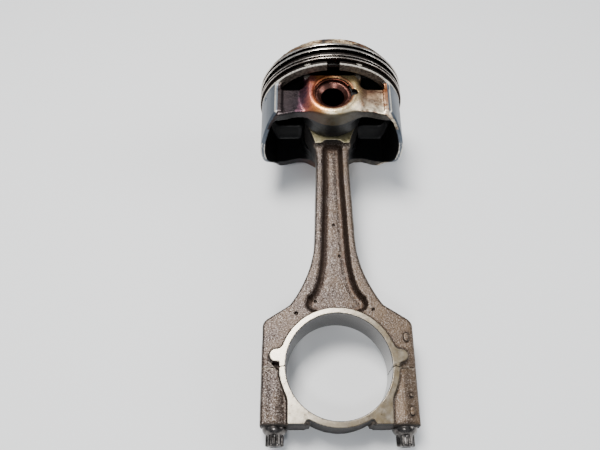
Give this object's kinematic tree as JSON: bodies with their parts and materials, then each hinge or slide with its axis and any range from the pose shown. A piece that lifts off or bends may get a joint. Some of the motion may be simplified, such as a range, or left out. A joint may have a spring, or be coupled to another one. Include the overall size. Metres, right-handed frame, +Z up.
{
  "type": "piston and connecting rod",
  "caption": "Four-stroke piston with its rings and wrist pin on a forged connecting rod with a bolted bearing cap; the piston swings on the pin and the rings turn.",
  "frame": {"origin": "centre of the crankpin bore, midway through the big end's width", "axes": "+Y along the rod towards the piston, levelled; +Z up from the surface that it lies on; +X across the rod. The rod and pin axes are tilted 9.53 degrees about X, as the assembly lies."},
  "size_m": [0.086, 0.2188, 0.0868],
  "materials": {
    "forged_steel": "forged and blasted, oily, bright machined thrust faces",
    "bolt_steel": "black-oxide steel with worn bright edges",
    "bush_bronze": "dull bronze",
    "piston_alloy": "satin cast aluminium with varnish and carbon stains",
    "pin_steel": "varnish-stained ground steel",
    "clip_steel": "dark spring steel",
    "ring_steel": "polished running edge, dark sides",
    "expander_steel": "oily stainless strip"
  },
  "bodies": {
    "rod": {"connecting_rod": "forged_steel", "rod_cap": "forged_steel", "bolt_left": "bolt_steel", "bolt_right": "bolt_steel", "small_end_bush": "bush_bronze"},
    "piston": {"piston": "piston_alloy", "circlip_front": "clip_steel", "circlip_rear": "clip_steel"},
    "wrist_pin": {"wrist_pin": "pin_steel"},
    "top_ring": {"top_ring": "ring_steel"},
    "second_ring": {"second_ring": "ring_steel"},
    "oil_rail_upper": {"oil_rail_upper": "ring_steel"},
    "oil_expander": {"oil_expander": "expander_steel"},
    "oil_rail_lower": {"oil_rail_lower": "ring_steel"}
  },
  "joints": [
    {"name": "piston_swing", "type": "hinge", "parent": "rod", "child": "piston", "pos_m": [0, 0.14645, 0.0246], "axis": [0, -0.1656, 0.9862], "range_deg": [-40, 40]},
    {"name": "wrist_pin_turn", "type": "hinge", "parent": "piston", "child": "wrist_pin", "pos_m": [0, 0.14645, 0.0246], "axis": [0, -0.1656, 0.9862], "continuous": true},
    {"name": "top_ring_turn", "type": "hinge", "parent": "piston", "child": "top_ring", "pos_m": [0, 0.16806, 0.02934], "axis": [0, 0.9862, 0.1656], "continuous": true},
    {"name": "second_ring_turn", "type": "hinge", "parent": "piston", "child": "second_ring", "pos_m": [0, 0.16491, 0.02881], "axis": [0, 0.9862, 0.1656], "continuous": true},
    {"name": "oil_rail_upper_turn", "type": "hinge", "parent": "piston", "child": "oil_rail_upper", "pos_m": [0, 0.16019, 0.02802], "axis": [0, 0.9862, 0.1656], "continuous": true},
    {"name": "oil_expander_turn", "type": "hinge", "parent": "piston", "child": "oil_expander", "pos_m": [0, 0.15923, 0.02786], "axis": [0, 0.9862, 0.1656], "continuous": true},
    {"name": "oil_rail_lower_turn", "type": "hinge", "parent": "piston", "child": "oil_rail_lower", "pos_m": [0, 0.15828, 0.0277], "axis": [0, 0.9862, 0.1656], "continuous": true}
  ]
}
